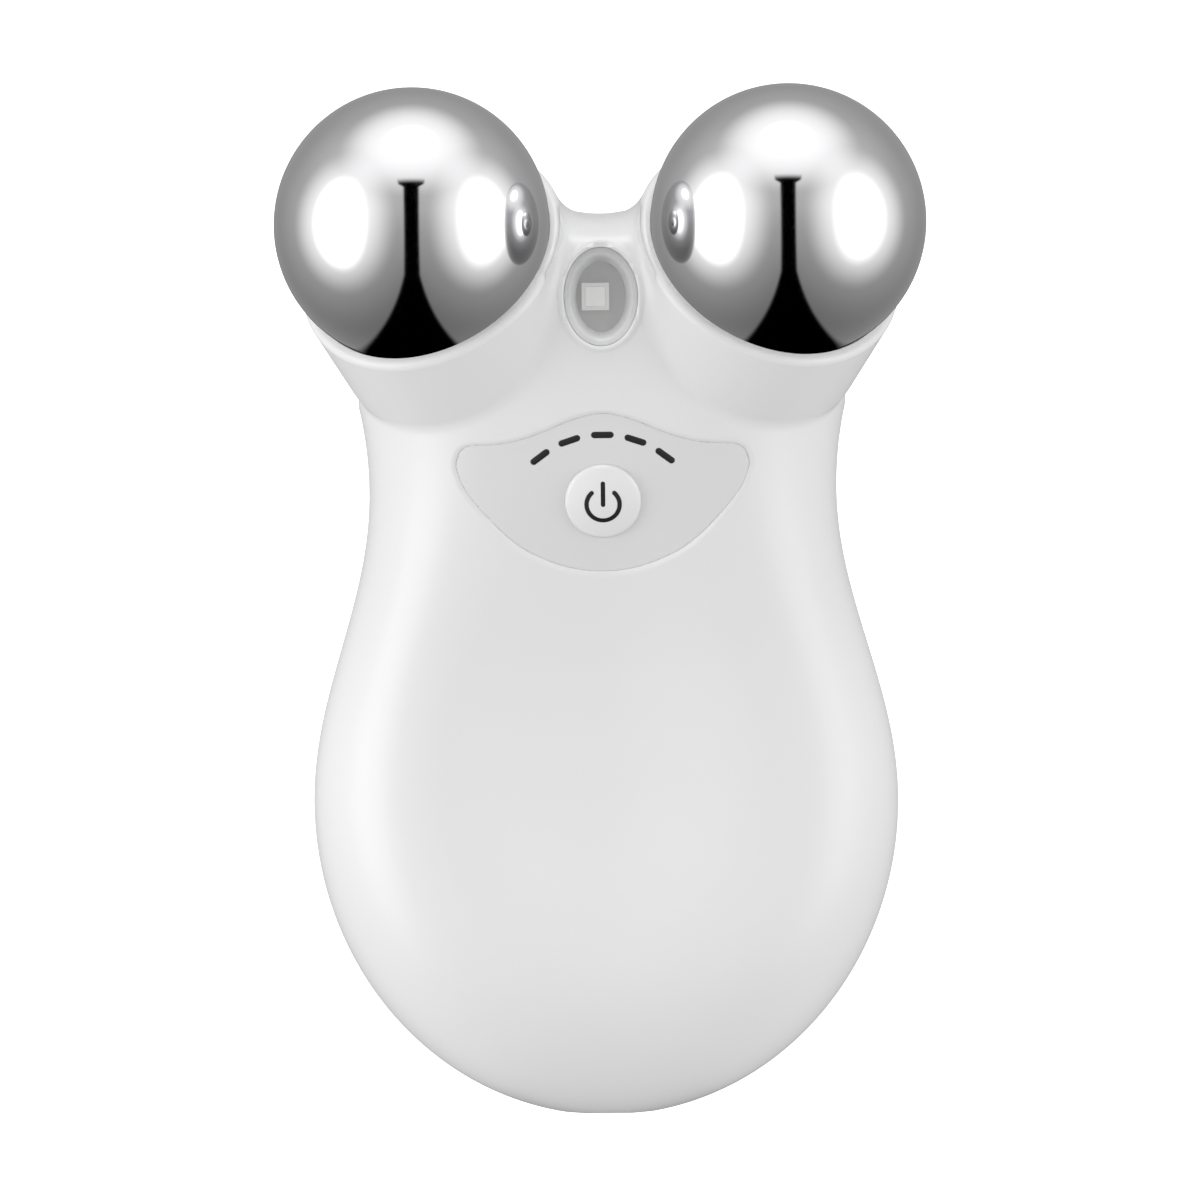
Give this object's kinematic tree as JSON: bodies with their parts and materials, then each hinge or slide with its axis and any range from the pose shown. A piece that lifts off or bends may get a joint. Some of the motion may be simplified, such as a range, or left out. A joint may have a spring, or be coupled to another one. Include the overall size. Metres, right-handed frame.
{
  "type": "facial toning device",
  "caption": "Palm-held facial toning device: mouse-shaped white body with a thumb dish, inlaid button panel, lit window, and a forked head of polished metal balls in collars.",
  "frame": {"origin": "bottom centre of the part, on the flat of its back: in the middle of the width and of the overall length", "axes": "+Z from the back to the button side, +Y from the palm end to the balls, +X to the right of someone who looks at the button side with the balls up"},
  "size_m": [0.071, 0.1118, 0.0465],
  "materials": {
    "shell_white": "glossy white moulded plastic",
    "panel_white": "satin pale grey-white inlay",
    "button_white": "satin white with a dark power symbol",
    "ball_metal": "mirror polished plating",
    "seal_rubber": "soft translucent silicone",
    "contact_brass": "stamped",
    "steel_screw": "zinc plated",
    "bar_dark": "dark tinted light guide",
    "led_cream": "phosphor and resin",
    "switch_black": "moulded",
    "lens_clear": "clear glossy window",
    "reflector_grey": "satin grey reflector",
    "led_board_white": "white solder mask",
    "board_green": "green solder mask",
    "chip_black": "epoxy",
    "coil_copper": "ferrite with a copper winding",
    "capacitor_tan": "ceramic",
    "battery_foil": "foil pouch",
    "foam_grey": "foam",
    "socket_metal": "plated sheet",
    "lead_red": "insulated wire",
    "lead_blue": "insulated wire",
    "lead_yellow": "insulated wire",
    "connector_ivory": "nylon",
    "plug_white": "soft white plug"
  },
  "bodies": {
    "device": {"front_shell": "shell_white", "rear_shell": "shell_white", "left_ball": "ball_metal", "right_ball": "ball_metal", "left_ball_seal": "seal_rubber", "right_ball_seal": "seal_rubber", "ball_screws": "steel_screw", "left_contact_tab": "contact_brass", "right_contact_tab": "contact_brass", "left_ball_lead": "lead_red", "right_ball_lead": "lead_red", "control_panel": "panel_white", "indicator_light_guide": "bar_dark", "indicator_leds": "led_cream", "tact_switch_body": "switch_black", "window_lens": "lens_clear", "window_reflector": "reflector_grey", "window_led": "led_cream", "window_led_board": "led_board_white", "window_led_leads": "lead_yellow", "main_board": "board_green", "controller_chip": "chip_black", "boost_coil": "coil_copper", "filter_capacitors": "capacitor_tan", "battery": "battery_foil", "battery_pad": "foam_grey", "battery_leads": "lead_red", "battery_connector": "connector_ivory", "charging_socket": "socket_metal", "charging_board": "board_green", "charging_leads": "lead_blue", "case_screws": "steel_screw", "board_screws": "steel_screw", "screw_plugs": "plug_white"},
    "power_button": {"power_button": "button_white"},
    "switch_plunger": {"tact_switch_plunger": "switch_black"}
  },
  "joints": [
    {"name": "button_press", "type": "slide", "parent": "device", "child": "power_button", "axis": [0, 0.2908, -0.9568], "range_m": [0, 0.0003], "stiffness_N_per_m": 2000, "springref_m": -0.0004},
    {"name": "plunger_press", "type": "slide", "parent": "device", "child": "switch_plunger", "axis": [0, 0.2908, -0.9568], "range_m": [0, 0.0003]}
  ],
  "couplings": [
    {"joint": "plunger_press", "follows": "button_press", "ratio": 1}
  ]
}
